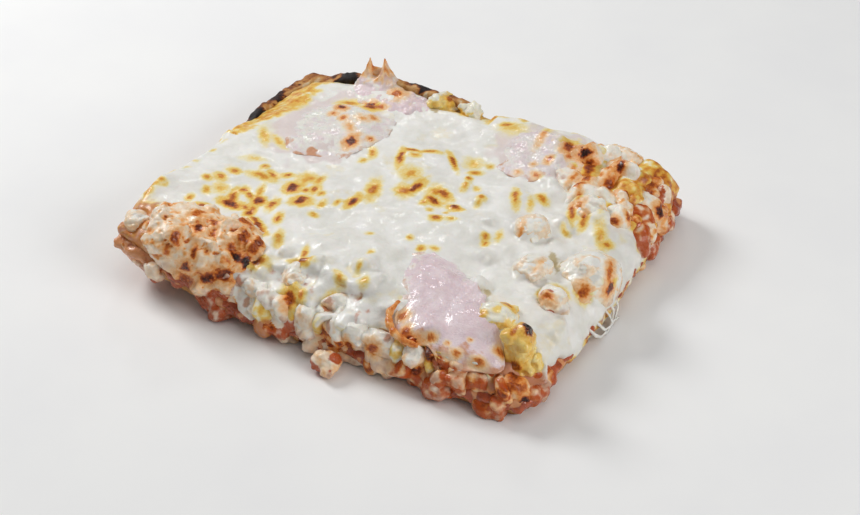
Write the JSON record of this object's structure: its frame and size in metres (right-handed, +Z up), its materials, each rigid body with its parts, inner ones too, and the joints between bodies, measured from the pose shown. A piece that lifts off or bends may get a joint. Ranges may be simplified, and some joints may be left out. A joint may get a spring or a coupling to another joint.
{
  "type": "pizza slice",
  "caption": "Rectangular slice of pan pizza with a thin crust, tomato sauce, melted browned cheese, ham slices and chopped chicken and fruit pieces, one corner curled up.",
  "frame": {"origin": "middle of the slice's box in plan, on the surface that it lies on", "axes": "+X along the slice's long side, +Z up, -Y towards the long cut side that shows the most toppings"},
  "size_m": [0.167, 0.1455, 0.0348],
  "materials": {
    "crust": "baked bread, dry, scorched dark brown on the raised rim",
    "sauce": "wet cooked tomato sauce",
    "cheese": "melted mozzarella, oily, browned in spots",
    "ham": "moist sliced ham under a thin film of cheese",
    "chicken": "cooked chopped chicken coated in cheese and sauce",
    "fruit": "soft yellow fruit pieces, charred at the tips"
  },
  "bodies": {
    "root": {"cheese": "cheese", "chicken_back_a": "chicken", "chicken_back_b": "chicken", "chicken_back_c": "chicken", "chicken_back_d": "chicken", "chicken_browned": "chicken", "chicken_corner": "chicken", "chicken_front_cap": "chicken", "chicken_front_long": "chicken", "chicken_front_pale": "chicken", "chicken_front_pink": "chicken", "chicken_front_smooth": "chicken", "chicken_front_wide": "chicken", "chicken_left": "chicken", "chicken_left_low": "chicken", "chicken_low": "chicken", "chicken_mid_a": "chicken", "chicken_mid_b": "chicken", "chicken_mid_c": "chicken", "chicken_pinkish": "chicken", "chicken_red_top": "chicken", "chicken_right": "chicken", "chicken_spilled": "chicken", "chicken_stringy": "chicken", "chicken_under_ham": "chicken", "crust": "crust", "fruit_back": "fruit", "fruit_back_small": "fruit", "fruit_charred": "fruit", "fruit_ham_side": "fruit", "fruit_speck": "fruit", "ham_back_left": "ham", "ham_back_peak": "ham", "ham_back_right": "ham", "ham_front": "ham", "sauce": "sauce"}
  },
  "joints": []
}
